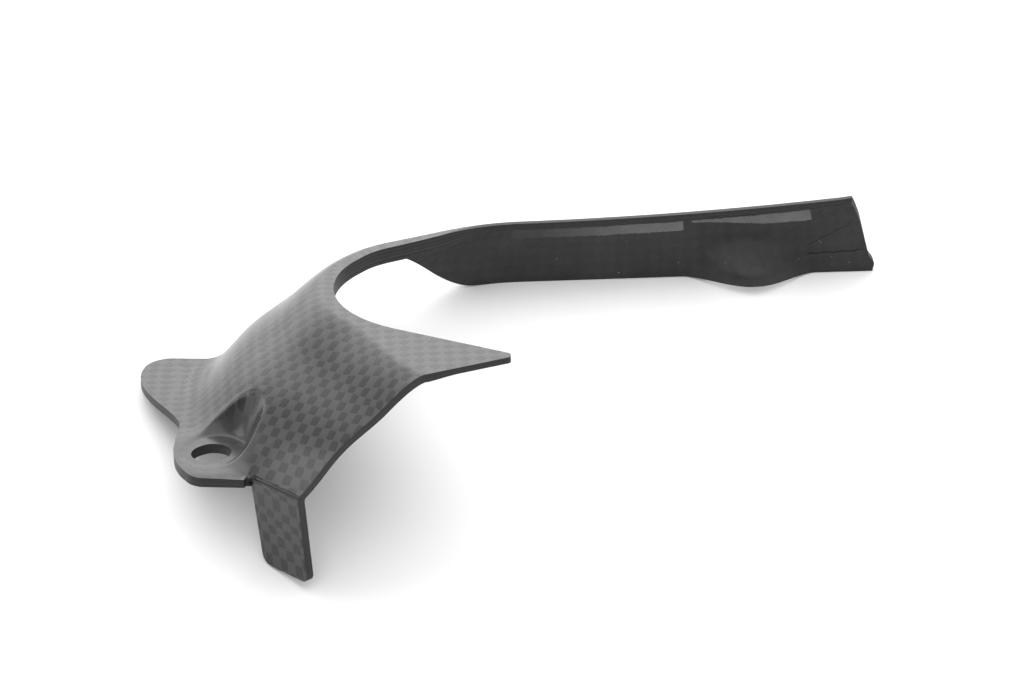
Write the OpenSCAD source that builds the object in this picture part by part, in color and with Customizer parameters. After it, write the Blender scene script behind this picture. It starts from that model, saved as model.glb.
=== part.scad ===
// Front sprocket cover, moulded in one piece from woven laminate.
// The skin is lofted along the C of the cover, from the tip of the finger round to the end of
// the arm. Every section has four corners: rim, shoulder, foot and edge.
// The loft is drawn about the skirt's centre with the mating plane at z = 0, and the finished
// cover is then laid down on its three feet: the leg's tip, the wing's far corner and the lower
// corner of the arm's end.

/* [Laminate] */
// Thickness of the laminate
skin_t = 1.6; // [1.2:0.1:2]
// Extra thickness of the lug round the bolt hole
lug_pad = 0.3; // [0:0.1:0.6]
// Height of the thick cut face on the far side of the opening
rim_face = 3.2; // [2:0.1:4]

/* [Cover] */
// Height of the top face over the mating plane
cover_h = 22; // [19:0.5:25]
// Radius of the skirt at the mating plane
skirt_r = 48.3; // [47:0.1:50]
// Radius of the shoulder where the top face turns down
shoulder_r = 27; // [26:0.1:28]
// Shoulder centre, to the right of the skirt's centre
shoulder_x = 1.5; // [1:0.1:2]
// Shoulder centre, behind the skirt's centre
shoulder_y = 5; // [4.5:0.1:5.5]
// How far the skirt swells outwards at half its height
skirt_swell = 0.8; // [0:0.1:1.5]
// Length of the bend at the shoulder, on the skirt's side
shoulder_bend = 7; // [3:0.5:9]

/* [Opening] */
// Radius of the opening's round end
opening_r = 23.8; // [23:0.1:24.6]
// Opening centre, to the right of the skirt's centre
opening_x = 2.9; // [2.7:0.1:3.3]
// Opening centre, behind the skirt's centre
opening_y = 5.8; // [5.5:0.1:6.2]

/* [Finger] */
// Distance of the finger's tip to the right of the skirt's centre
finger_tip_x = 13; // [8:0.5:18]
// Width of the finger's blunt tip
finger_tip_w = 1.6; // [1:0.1:3]
// Thickness of the finger
finger_t = 1.2; // [1:0.1:1.6]
// Angle of the opening's edge along the finger
finger_rim_angle = 27.7; // [25:0.1:30]
// Angle of the finger's other edge
finger_edge_angle = 27; // [22:0.5:30]

/* [Front face] */
// Direction that the front face's shoulder looks in
front_az = 214.4; // [212:0.1:217]
// Direction that the fold over the leg looks in
fold_az = 226; // [224:0.5:228]
// Length of the fold over the leg
fold_w = 12.8; // [11:0.1:15]
// How far that fold stands out from the skirt's foot
fold_out = 0.8; // [0:0.1:1.2]
// How far the front face's free edge is bowed in
front_bow = 0.3; // [0:0.1:1.2]

/* [Leg] */
// Length of the leg below the fold
leg_len = 17.2; // [14:0.1:20]
// Width of the leg at its tip
leg_tip_w = 12.1; // [9:0.1:13]
// How far the leg's tip leans in under the cover
leg_lean = 1; // [0:0.1:2]
// How far the leg's tip is set over towards the finger
leg_shift = 1; // [0:0.1:1.6]
// Radius of the leg's corner next to the lug
leg_corner_r = 2.4; // [1:0.1:4]

/* [Lug] */
// Radius of the bolt hole
bolt_r = 3.7; // [3.2:0.1:4.3]
// Bolt hole, to the left of the skirt's centre
bolt_x = 42; // [41:0.1:43]
// Bolt hole, in front of the skirt's centre
bolt_y = 26; // [25:0.1:27]
// Distance of the lug's front edge from the bolt hole's centre
lug_front = 10.7; // [9:0.1:12]
// Distance of the lug's cut corner from the bolt hole's centre
lug_corner = 7.6; // [6.6:0.1:8]
// Distance of the lug's outer edge from the bolt hole's centre
lug_side = 7.2; // [6.2:0.1:8]
// Radius of the pocket that clears the bolt's head
pocket_r = 6.3; // [5.8:0.1:7]
// How far the pocket runs into the skirt
pocket_len = 1.8; // [1:0.1:3]
// Slope of the pocket's wall
pocket_angle = 68; // [62:1:73]

/* [Wing] */
// How far the wing stands out from the skirt
wing_w = 12; // [9:0.5:15]
// Radius of the wing's far corner
wing_corner_r = 5.4; // [3:0.1:6]
// Direction of the corner between the lug and the wing
wing_from_az = 194.9; // [193:0.1:197]
// Direction of the wing's far corner
wing_to_az = 168; // [166:0.5:171]
// Direction of the wing's back edge at the skirt
wing_end_az = 159.3; // [157:0.1:161]

/* [Bridge] */
// Direction that the bridge's back looks in
bridge_az = 121; // [118:0.5:124]
// Length of the straight bridge
bridge_len = 13; // [10:0.5:18]
// Width of the bridge's top face
bridge_w = 3.2; // [2.6:0.1:3.8]
// How far the bridge's back wall hangs down
bridge_drop = 2.8; // [2.4:0.1:4]

/* [Arm] */
// Length of the straight arm
arm_len = 68.4; // [55:0.1:90]
// Direction that the arm's back looks in
arm_az = 96; // [92:0.5:100]
// Radius of the turn from the bridge into the arm
arm_turn_r = 40; // [30:1:50]
// Width of the arm's top edge
arm_edge_w = 2.1; // [1.9:0.1:2.6]
// How far the arm's top edge rises to its end
arm_rise = 2.9; // [0:0.1:4]
// Height of the arm's lower edge over the mating plane where the arm starts
arm_foot_z = 7.6; // [5:0.1:9]
// How far the arm's lower edge rises to its end
arm_foot_rise = 0.9; // [0:0.1:3]
// How far the arm's wall leans out where the arm starts
arm_lean = 5; // [2:0.1:7]
// How far the arm's wall leans out at its end
arm_end_lean = 1; // [0.6:0.1:3]
// How far the arm's end is cut on the slant
arm_slant = 4.5; // [0:0.5:8]
// How far the top corner of the arm's end is rounded off
arm_corner = 1; // [0:0.1:2]
// How far the toe at the arm's end stands out
arm_toe = 0.7; // [0:0.1:1.5]
// Depth of the boss pressed into the arm's wall
boss_depth = 7; // [0:0.1:7.5]
// Length of that boss
boss_len = 25; // [16:1:28]
// Distance of that boss from the arm's end
boss_back = 23.5; // [20:0.5:28]

/* [Hidden] */

// Cells of the skin along each stretch of the C
finger_cells = 7;
front_cells = 12;
lug_cells = 18;
wing_cells = 9;
corner_cells = 5;
back_cells = 8;
bridge_cells = 9;
arm_cells = 26;
// Cells of the skin across each stretch of the section
land_rows = 3;
shoulder_rows = 3;
skirt_rows = 12;
bend_rows = 3;
flange_rows = 3;
last_row = land_rows + shoulder_rows + skirt_rows + bend_rows + flange_rows;
skirt_end_row = last_row - flange_rows - bend_rows;

// Small helpers
function polar(r, a) = [r * cos(a), r * sin(a)];
function mix(a, b, t) = a + (b - a) * t;
function at_z(p, z) = [p.x, p.y, z];
function flat(p) = [p.x, p.y];
function clamp(t) = max(0, min(1, t));
function smooth(t) = let (c = clamp(t)) c * c * (3 - 2 * c);
function bend(a, b, c, t) = mix(mix(a, b, t), mix(b, c, t), t);

// A rail is a circle with a tangent line at either end. This is where a ray from the skirt's
// centre meets it.
function rail(centre, r, line_az, back_az, a) =
    let (d = polar(1, a))
    let (side = centre.x * d.y - centre.y * d.x)
    let (p = d * (centre * d + sqrt(r * r - side * side)))
    let (seen = (atan2(p.y - centre.y, p.x - centre.x) + 360) % 360)
    let (line = seen > line_az ? line_az : back_az)
    seen > line_az || seen < back_az ? d * ((polar(1, line) * centre + r) / (polar(1, line) * d)) : p;

opening_c = [opening_x, opening_y];
shoulder_c = [shoulder_x, shoulder_y];
function rim_at(a) = rail(opening_c, opening_r, 270 - finger_rim_angle, bridge_az, a);
function shoulder_at(a) = rail(shoulder_c, shoulder_r, front_az, bridge_az, a);

// Where the finger springs from the front face, and its tip
finger_root_az = 260.5;
finger_root = rim_at(finger_root_az);
finger_tip = finger_root + (finger_tip_x - finger_root.x) * [1, -tan(finger_rim_angle)];
finger_tip_low = finger_tip - [0, finger_tip_w];
finger_heel_x = -2.4;
finger_heel = finger_tip_low + (finger_heel_x - finger_tip_x) * [1, tan(finger_edge_angle)];
front_corner = finger_heel - [2.2, 1.6];
// The shoulder's bend starts this far in from the shoulder, but on the finger's edge at the heel
land_bend = 2.4;
heel_bend = mix(front_corner, finger_root, land_bend / norm(finger_root - front_corner));

// The fold over the leg
function foot_r(a) = skirt_r + fold_out * smooth((a - fold_az + 14) / 14);
fold_left = polar(foot_r(fold_az), fold_az);
fold_dir = polar(1, fold_az + 90);
fold_right = fold_left + fold_dir * fold_w;

// The bridge and the arm share one path along their outer top edge
bridge_start = shoulder_c + polar(shoulder_r, bridge_az);
bridge_start_az = atan2(bridge_start.y, bridge_start.x);
turn = bridge_az - arm_az;
turn_len = arm_turn_r * turn * PI / 180;
path_len = bridge_len + turn_len + arm_len;
function path_az(s) = bridge_az - turn * clamp((s - bridge_len) / turn_len);
turn_c = bridge_start + polar(bridge_len, bridge_az - 90) - polar(arm_turn_r, bridge_az);
function path(s) =
    s < bridge_len ? bridge_start + polar(s, bridge_az - 90)
    : s < bridge_len + turn_len ? turn_c + polar(arm_turn_r, path_az(s))
    : turn_c + polar(arm_turn_r, arm_az) + polar(s - bridge_len - turn_len, arm_az - 90);

// The arm's wall hangs down from the bridge between these two places on the path
wall_from = 1;
wall_full = 22;

// The bolt hole and the pocket that clears the bolt's head
bolt = [-bolt_x, -bolt_y];
pocket_end = bolt + polar(pocket_len, 80);
function pocket_gap(p) =
    let (d = pocket_end - bolt)
    let (t = clamp(((p - bolt) * d) / (d * d)))
    norm(p - bolt - d * t);
function pocket_z(p, r, floor_z) = floor_z + max(0, pocket_gap(p) - r) * tan(pocket_angle);
inner_pocket_r = pocket_r + skin_t / sin(pocket_angle) - skin_t / tan(pocket_angle);
function blend_min(a, b, k) = let (t = clamp(0.5 + (b - a) / (2 * k))) mix(b, a, t) - k * t * (1 - t);
function pad_at(p) = lug_pad * (1 - smooth((norm(p - bolt) - 8.5) / 4));

// A lug's edge, where a ray from the skirt's centre meets the nearest of its three sides
lug_corner_az = 213;
lug_round = 3.5;
function lug_edge(a) =
    let (front = (bolt_y + lug_front) / -sin(a))
    let (corner = (polar(1, lug_corner_az) * bolt + lug_corner) / cos(a - lug_corner_az))
    let (side = (bolt_x + lug_side) / -cos(a))
    polar(blend_min(blend_min(front, corner, lug_round), side, lug_round), a);

// The wing's edge moves out from the lug's edge to the wing's full width
lug_end_reach = norm(lug_edge(wing_from_az)) - skirt_r;
function wing_edge(a) =
    let (q = (wing_from_az - a) / (wing_from_az - wing_to_az))
    polar(skirt_r + mix(lug_end_reach, wing_w, smooth(q)), a);
wing_corner_c = wing_edge(wing_to_az) - polar(wing_corner_r, wing_to_az + 6);

// A station is [rim, shoulder, foot, edge, outward direction, tail, height of the rim's cut face].
// The tail below the foot is nothing, a flange or a leg.
none = 0;
flange = 1;
leg = 2;
rim_low = skin_t * 0.7;

function out(s, f) = let (d = flat(f) - flat(s)) d / norm(d);

// The finger's first cell is short and rounds off its tip
finger_tip_q = 0.03;
finger_tip_cut = 0.3;
finger = [for (k = [0 : finger_cells - 1])
    let (q = k == 0 ? 0 : mix(finger_tip_q, 1, (k - 1) / (finger_cells - 1)))
    let (top = mix(finger_tip, finger_root, q))
    let (low = mix(finger_tip_low, finger_heel, q))
    let (cut = k == 0 ? finger_tip_cut : 0)
    let (edge = at_z(mix(low, top, cut), cover_h))
    let (t = mix(finger_t, skin_t, smooth((q - 0.6) / 0.4)))
    [at_z(mix(top, low, cut), cover_h), edge, edge, edge, [0, -1], none, t]];

function leg_drop(q) =
    let (d = q * leg_tip_w)
    let (e = leg_tip_w - d)
    let (r = min(leg_corner_r, leg_tip_w / 2))
    let (small = r * 0.5)
    leg_len - (e < r ? r - sqrt(r * r - (r - e) * (r - e)) : 0) * 0.9
        - (d < small ? small - sqrt(small * small - (small - d) * (small - d)) : 0);

front = [for (k = [0 : front_cells])
    let (q = k / front_cells)
    let (s = at_z(mix(front_corner, shoulder_at(fold_az), q), cover_h))
    let (f = at_z(mix(fold_right, fold_left, q), skin_t))
    let (tip = (q - 0.5) * (fold_w - leg_tip_w) + leg_shift)
    let (e = f + at_z(fold_dir * tip - polar(leg_lean, fold_az), -leg_drop(q)))
    [at_z(rim_at(mix(finger_root_az, fold_az, q)), cover_h), s, f, e, polar(1, fold_az), leg, skin_t]];

function skirt_station(a, edge, face) =
    [at_z(rim_at(a), cover_h), at_z(shoulder_at(a), cover_h), at_z(polar(foot_r(a), a), skin_t),
     at_z(edge, skin_t), polar(1, a), flange, face];

lug_gap_az = 0.9;
function face_at(a) = mix(skin_t, rim_face, smooth((195 - a) / 25));
function lug_az(k) = mix(fold_az - lug_gap_az, wing_from_az, k / lug_cells);
lug_end = [fold_left.x - 1, -bolt_y - lug_front];
lug = [for (k = [0 : lug_cells])
    let (edge = k < 3 ? mix(lug_end, lug_edge(lug_az(3)), k / 3) : lug_edge(lug_az(k)))
    skirt_station(lug_az(k), edge, face_at(lug_az(k)))];
wing = [for (k = [1 : wing_cells])
    let (a = mix(wing_from_az, wing_to_az, k / wing_cells))
    skirt_station(a, wing_edge(a), face_at(a))];
corner = [for (k = [1 : corner_cells])
    let (q = k / corner_cells)
    skirt_station(mix(wing_to_az, wing_end_az, q),
        wing_corner_c + polar(wing_corner_r, mix(wing_to_az + 6, 95, q)), rim_face)];

bridge_run = 2.4;
back = [for (k = [1 : back_cells])
    let (q = k / back_cells)
    let (a = mix(wing_end_az, bridge_start_az, q))
    let (s = shoulder_at(a))
    let (way = mix(polar(1, a), polar(1, bridge_az), q))
    let (n = way / norm(way))
    let (w = smooth(q))
    let (f = s + n * mix(norm(polar(skirt_r, a) - s), bridge_run, w))
    let (r = mix(rim_at(a), s - n * bridge_w, smooth((q - 0.6) / 0.4)))
    [at_z(r, cover_h), at_z(s, cover_h), at_z(f, mix(skin_t, cover_h - bridge_drop, w)),
     at_z(f, 0), n, none, rim_face]];

function boss(s) =
    let (q = (s - (path_len - boss_back)) / boss_len)
    abs(q) > 0.5 ? 0 : pow(cos(180 * q), 1.5);

function path_station(s) =
    let (n = polar(1, path_az(s)))
    let (way = polar(1, path_az(s) - 90))
    let (along = clamp((s - wall_full) / (path_len - wall_full)))
    let (grown = smooth((s - wall_from) / (wall_full - wall_from)))
    let (top = cover_h + arm_rise * pow(clamp((s - 30) / (path_len - 30)), 2))
    let (lean = mix(bridge_run, mix(arm_lean, arm_end_lean, along), grown))
    let (foot_z = mix(cover_h - bridge_drop, arm_foot_z + arm_foot_rise * along, grown))
    let (narrow = mix(bridge_w, arm_edge_w, smooth(s / 25)))
    let (p = path(s))
    let (f = p + n * lean + way * arm_slant * along * along)
    [at_z(p - n * narrow, top), at_z(p, top), at_z(f, foot_z), at_z(f, 0), n, none,
     mix(rim_face, rim_low, smooth((s - 8) / 22))];

bridge = [for (k = [1 : bridge_cells]) path_station((wall_full + 4) * k / bridge_cells)];
arm = [for (k = [1 : arm_cells]) path_station(mix(wall_full + 4, path_len, k / arm_cells))];

stations = concat(finger, front, lug, wing, corner, back, bridge, arm);
last_station = len(stations) - 1;
first_front = finger_cells;
last_front = first_front + front_cells;
last_flange = last_front + 1 + lug_cells + wing_cells + corner_cells;

// The inner skin's corners, a laminate's thickness in from the outer ones
function inner(st) =
    let (n = st[4])
    let (run = norm(flat(st[2]) - flat(st[1])))
    let (slope = atan2(st[1].z - st[2].z, max(run, 0.01)))
    let (t = st[2] == st[1] ? st[6] : skin_t)
    let (s = st[1] - t * at_z(n * tan(slope / 2), 1))
    let (f = st[5] == flange ? st[2] - skin_t * at_z(n * tan(slope / 2), 1)
        : st[5] == leg ? st[2] - skin_t * at_z(n, tan(45 - slope / 2))
        : st[2] - skin_t * at_z(n * sin(slope), cos(slope)))
    let (e = st[5] == leg ? st[3] - skin_t * at_z(n, 0) : st[3] - skin_t * [0, 0, 1])
    [st[0] - [0, 0, st[6]], s, f, e];

// The fractions of each side of the section that its bends take up, and how the tail's rows are
// spaced: they lie close to the leg's fold, where the web beside the lug needs them
leg_row_power = 2.2;
flange_row_power = 0.6;
function bends(st) =
    let (land = norm(st[1] - st[0]))
    let (wall = max(norm(st[2] - st[1]), 0.01))
    let (run = norm(flat(st[2]) - flat(st[1])))
    [st[2] == st[1] ? 0 : min(land_bend, 0.45 * land) / land,
     min(shoulder_bend, 0.35 * run) / wall,
     st[5] == flange ? 0.09 : st[5] == leg ? 0.02 : 0,
     st[5] == leg ? 0.04 : 0.3,
     st[5] == leg ? leg_row_power : flange_row_power];

// At the heel the bend is led over to the finger's edge
heel_cells = 3;
function lead_of(i) =
    at_z((finger_heel - heel_bend) * (i < first_front ? 0 : 1 - smooth((i - first_front) / heel_cells)), 0);

// One section of a skin, from its four corners
function section(c, b, swell, lead) =
    let (p1 = mix(c[1], c[0], b[0]) + lead)
    let (p2 = mix(c[1], c[2], b[1]))
    let (p3 = mix(c[2], c[1], b[2]))
    let (p4 = mix(c[2], c[3], b[3]))
    concat(
        [for (k = [0 : land_rows - 1]) mix(c[0], p1, k / land_rows)],
        [for (k = [0 : shoulder_rows - 1]) bend(p1, c[1], p2, k / shoulder_rows)],
        [for (k = [0 : skirt_rows - 1])
            let (t = pow(k / skirt_rows, 0.85))
            mix(p2, p3, t) + swell * pow(sin(180 * t), 2)],
        [for (k = [0 : bend_rows - 1]) bend(p3, c[2], p4, k / bend_rows)],
        [for (k = [0 : flange_rows]) mix(p4, c[3], pow(k / flange_rows, b[4]))]);

// The boss pushes the arm's wall inwards, more towards its lower edge
function pressed(p, st, j, s) =
    let (t = clamp((j - land_rows - shoulder_rows) / skirt_rows))
    p - at_z(st[4] * boss_depth * boss(s) * smooth((t - 0.25) / 0.6), 0);

// The arm's end is rounded off at its top corner and stands out in a toe near its lower edge
function trim_at(i, j) =
    let (t = (j - land_rows - shoulder_rows) / skirt_rows)
    let (toe = arm_toe * pow(sin(180 * clamp((t - 0.7) / 0.3)), 2))
    let (rounded = arm_corner * (1 - smooth((j - land_rows) / 5)))
    i < last_station ? [0, 0, 0] : at_z(polar(toe - rounded, arm_az - 90), 0);

function dished(p, r, floor_z, pad) =
    at_z(p, blend_min(p.z, max(pocket_z(flat(p), r, floor_z), 0), 0.5) + pad);

full_run = skirt_r - shoulder_r;
arm_first = last_flange + back_cells + bridge_cells;
function path_place(i) =
    i > arm_first ? mix(wall_full + 4, path_len, (i - arm_first) / arm_cells) : 0;

function swell_of(st, i) =
    let (run = norm(flat(st[2]) - flat(st[1])))
    let (slope = atan2(st[1].z - st[2].z, max(run, 0.01)))
    let (free = clamp(1 - (i - first_front) / front_cells))
    skirt_swell * pow(clamp(run / full_run), 2) * at_z(st[4] * sin(slope), cos(slope))
        - at_z(fold_dir * front_bow * (i < first_front ? 0 : free), 0);

outer_skin = [for (i = [0 : last_station])
    let (st = stations[i])
    let (row = section([st[0], st[1], st[2], st[3]], bends(st), swell_of(st, i), lead_of(i)))
    [for (j = [0 : last_row])
        let (p = pressed(row[j], st, j, path_place(i)) + trim_at(i, j))
        norm(flat(p) - bolt) > 24 || (st[5] == leg && j > skirt_end_row) ? p
        : dished(p, pocket_r, skin_t, pad_at(flat(p)))]];

inner_skin = [for (i = [0 : last_station])
    let (st = stations[i])
    let (row = section(inner(st), bends(st), swell_of(st, i), lead_of(i)))
    [for (j = [0 : last_row])
        let (p = pressed(row[j], st, j, path_place(i)) + trim_at(i, j))
        norm(flat(p) - bolt) > 24 || (st[5] == leg && j > skirt_end_row) ? p
        : dished(p, inner_pocket_r, 0, 0)]];

// Which cells of the loft the laminate fills
function kept(i, j) =
    i < 0 || i >= last_station || j < 0 || j >= last_row ? false
    : i < first_front ? j < land_rows
    : i < last_front ? true
    : i == last_front ? j <= skirt_end_row + bend_rows
    : i < last_flange ? true
    : j < skirt_end_row;

row_n = last_row + 1;
skin_n = row_n * (last_station + 1);
function id(i, j) = i * row_n + j;
function quad(a, b, c, d) = [[a, b, c], [a, c, d]];
function wall(a, b) = quad(b, a, a + skin_n, b + skin_n);

cover_faces = [for (i = [0 : last_station - 1]) for (j = [0 : last_row - 1]) if (kept(i, j))
    let (a = id(i, j))
    let (b = id(i, j + 1))
    let (c = id(i + 1, j + 1))
    let (d = id(i + 1, j))
    let (n = skin_n)
    each concat(
        quad(a, b, c, d),
        quad(a + n, d + n, c + n, b + n),
        kept(i - 1, j) ? [] : wall(a, b),
        kept(i, j + 1) ? [] : wall(b, c),
        kept(i + 1, j) ? [] : wall(c, d),
        kept(i, j - 1) ? [] : wall(d, a))];

// The cover is laid on its three feet
leg_foot = inner_skin[last_front - 2][last_row];
wing_foot = inner_skin[last_flange - 1][last_row];
arm_foot = inner_skin[last_station][skirt_end_row];
rest_up = let (c = cross(wing_foot - leg_foot, arm_foot - leg_foot)) (c.z < 0 ? -c : c) / norm(c);
rest_right = let (c = cross([0, 1, 0], rest_up)) c / norm(c);
rest_turn = [rest_right, cross(rest_up, rest_right), rest_up];
loose = [for (skin = [outer_skin, inner_skin]) for (row = skin) for (p = row) rest_turn * p];
used = [for (f = cover_faces) for (v = f) loose[v]];
low = [min([for (p = used) p.x]), min([for (p = used) p.y]), min([for (p = used) p.z])];
high = [max([for (p = used) p.x]), max([for (p = used) p.y]), low.z];
rest_shift = -(low + high) / 2;
rest_frame = [for (k = [0 : 2]) concat(rest_turn[k], rest_shift[k])];

module sprocket_cover() {
    color([0.13, 0.13, 0.14])
    difference() {
        polyhedron(points = [for (p = loose) p + rest_shift], faces = cover_faces, convexity = 8);
        multmatrix(rest_frame)
            translate(at_z(bolt, -1))
            cylinder(h = skin_t + lug_pad + 2, r = bolt_r, $fn = 96);
    }
}

sprocket_cover();
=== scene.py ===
"""Front sprocket cover: the solid's loft, finer, with its weave, cut edges and bare inner side."""
import math

import bpy
import numpy as np
from mathutils import Matrix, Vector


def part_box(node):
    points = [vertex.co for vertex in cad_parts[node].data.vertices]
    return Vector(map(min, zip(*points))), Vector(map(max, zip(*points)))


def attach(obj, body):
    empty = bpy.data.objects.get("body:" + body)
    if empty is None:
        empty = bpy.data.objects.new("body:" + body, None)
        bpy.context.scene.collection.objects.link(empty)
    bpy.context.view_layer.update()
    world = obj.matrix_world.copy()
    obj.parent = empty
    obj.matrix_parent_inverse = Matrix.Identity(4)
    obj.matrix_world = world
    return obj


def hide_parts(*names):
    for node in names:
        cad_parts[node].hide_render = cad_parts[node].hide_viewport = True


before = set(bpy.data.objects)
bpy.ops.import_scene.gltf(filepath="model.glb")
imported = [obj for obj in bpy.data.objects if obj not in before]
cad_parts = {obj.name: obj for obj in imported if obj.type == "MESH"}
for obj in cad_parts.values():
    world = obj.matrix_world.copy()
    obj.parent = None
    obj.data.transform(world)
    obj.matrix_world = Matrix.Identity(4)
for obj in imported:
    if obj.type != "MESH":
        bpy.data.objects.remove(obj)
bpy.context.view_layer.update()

MM = 0.001
UP = np.array([0.0, 0.0, 1.0])

# The sizes of part.scad, in millimetres and degrees
SKIN_T = 1.6
LUG_PAD = 0.3
RIM_FACE = 3.2
COVER_H = 22.0
SKIRT_R = 48.3
SHOULDER_R = 27.0
SHOULDER_C = np.array([1.5, 5.0])
SKIRT_SWELL = 0.8
SHOULDER_BEND = 7.0
OPENING_R = 23.8
OPENING_C = np.array([2.9, 5.8])
FINGER_TIP_X = 13.0
FINGER_TIP_W = 1.6
FINGER_T = 1.2
FINGER_RIM_ANGLE = 27.7
FINGER_EDGE_ANGLE = 27.0
FRONT_AZ = 214.4
FOLD_AZ = 226.0
FOLD_W = 12.8
FOLD_OUT = 0.8
FRONT_BOW = 0.3
LEG_LEN = 17.2
LEG_TIP_W = 12.1
LEG_LEAN = 1.0
LEG_SHIFT = 1.0
LEG_CORNER_R = 2.4
BOLT_R = 3.7
BOLT = np.array([-42.0, -26.0])
LUG_FRONT = 10.7
LUG_CORNER = 7.6
LUG_SIDE = 7.2
POCKET_R = 6.3
POCKET_LEN = 1.8
POCKET_ANGLE = 68.0
WING_W = 12.0
WING_CORNER_R = 5.4
WING_FROM_AZ = 194.9
WING_TO_AZ = 168.0
WING_END_AZ = 159.3
BRIDGE_AZ = 121.0
BRIDGE_LEN = 13.0
BRIDGE_W = 3.2
BRIDGE_DROP = 2.8
ARM_LEN = 68.4
ARM_AZ = 96.0
ARM_TURN_R = 40.0
ARM_EDGE_W = 2.1
ARM_RISE = 2.9
ARM_FOOT_Z = 7.6
ARM_FOOT_RISE = 0.9
ARM_LEAN = 5.0
ARM_END_LEAN = 1.0
ARM_SLANT = 4.5
ARM_CORNER = 1.0
ARM_TOE = 0.7
BOSS_DEPTH = 7.0
BOSS_LEN = 25.0
BOSS_BACK = 23.5

# Smaller values of the same forms
BOSS_POWER, BOSS_FROM, BOSS_FADE = 1.5, 0.25, 0.6
HEEL_X, HEEL_CORNER, HEEL_CELLS = -2.4, np.array([2.2, 1.6]), 3
FINGER_TIP_Q, FINGER_TIP_CUT, FINGER_THICK_FROM = 0.03, 0.3, 0.6
LEG_NEAR_ROUND, LEG_FAR_ROUND = 0.9, 0.5
BRIDGE_LEAN, BRIDGE_NARROW_FROM = 2.4, 0.6
ARM_RISE_FROM, ARM_NARROW_LEN = 30, 25
ARM_FACE, ARM_FACE_FROM, ARM_FACE_LEN = SKIN_T * 0.7, 8, 22
SKIRT_POWER = 0.85
FACE_FROM_AZ, FACE_TURN = 195, 25
WING_CORNER_LEAD, WING_CORNER_END_AZ = 6, 95
LUG_FRONT_CELLS = 3
PAD_FROM, PAD_FADE = 8.5, 4
POCKET_AZ, POCKET_REACH, POCKET_BLEND = 80, 24, 0.5
BRIDGE_RUN_ON = 4

# The most of the land and of the wall's run that the section's upper roundings take
LAND_MOST, WALL_MOST = 0.45, 0.35

# The arm's end is rounded over CORNER_ROWS from the shoulder down, counted in the solid's rows, and
# its toe takes the last share of the skirt
SOLID_SHOULDER, SOLID_SKIRT, CORNER_ROWS = 3, 12, 5
TOE_FROM, TOE_SHARE = 0.7, 0.3

# Roundings that only this skin has: the fillet at the foot of the pocket's wall, and the stations
# beside the front that are drawn together. The easing counts cells, rows and rounds.
POCKET_FILLET = 1.2
EASE_CELLS, EASE_FULL = 4.5, 1.3
EASE_TOP, EASE_TOP_ROWS, EASE_FOOT, EASE_FOOT_ROWS = 1, 5, 4, 14
EASE_ROUNDS, EASE_STEP = 40, 0.8

# Cells of the solid along the C and across the section, and how many times finer the skin is here
CELLS = {"finger": 7, "front": 12, "lug": 18, "wing": 9, "corner": 5, "back": 8, "bridge": 9, "arm": 26}
FINE = 4
LAND, SHOULDER, SKIRT, BEND, FLANGE = 9, 9, 48, 9, 9
SKIRT_END = LAND + SHOULDER + SKIRT
FOLD_ROW = SKIRT_END + BEND // 2
LAST_ROW = SKIRT_END + BEND + FLANGE
NONE, FLAT, LEG = 0, 1, 2

# What lies below a section's foot sets its bend up the wall and along the tail, and the tail's spacing
BELOW = {NONE: (0, 0.3, 0.6), FLAT: (0.09, 0.3, 0.6), LEG: (0.02, 0.04, 2.2)}


def polar(r, a):
    return r * np.array([math.cos(math.radians(a)), math.sin(math.radians(a))])


def mix(a, b, t):
    return a + (b - a) * t


def clamp(t):
    return min(1.0, max(0.0, t))


def smooth(t):
    c = np.clip(t, 0.0, 1.0)
    return c * c * (3 - 2 * c)


def at_z(p, z):
    return np.array([p[0], p[1], z])


def rail(centre, r, line_az, a):
    d = polar(1, a)
    side = centre[0] * d[1] - centre[1] * d[0]
    p = d * (centre @ d + math.sqrt(r * r - side * side))
    seen = math.degrees(math.atan2(p[1] - centre[1], p[0] - centre[0])) % 360
    if BRIDGE_AZ <= seen <= line_az:
        return p
    n = polar(1, line_az if seen > line_az else BRIDGE_AZ)
    return d * ((n @ centre + r) / (n @ d))


def rim_at(a):
    return rail(OPENING_C, OPENING_R, 270 - FINGER_RIM_ANGLE, a)


def shoulder_at(a):
    return rail(SHOULDER_C, SHOULDER_R, FRONT_AZ, a)


def foot_r(a):
    return SKIRT_R + FOLD_OUT * smooth((a - FOLD_AZ + 14) / 14)


# The finger, the heel beside it and the fold over the leg
ROOT_AZ = 260.5
ROOT = rim_at(ROOT_AZ)
TIP = ROOT + (FINGER_TIP_X - ROOT[0]) * np.array([1, -math.tan(math.radians(FINGER_RIM_ANGLE))])
TIP_LOW = TIP - [0, FINGER_TIP_W]
HEEL = TIP_LOW + (HEEL_X - FINGER_TIP_X) * np.array([1, math.tan(math.radians(FINGER_EDGE_ANGLE))])
FRONT_CORNER = HEEL - HEEL_CORNER
LAND_BEND = 2.4
HEEL_LEAD = HEEL - mix(FRONT_CORNER, ROOT, LAND_BEND / np.linalg.norm(ROOT - FRONT_CORNER))
FOLD_LEFT = polar(foot_r(FOLD_AZ), FOLD_AZ)
FOLD_DIR = polar(1, FOLD_AZ + 90)
FOLD_RIGHT = FOLD_LEFT + FOLD_DIR * FOLD_W

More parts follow.
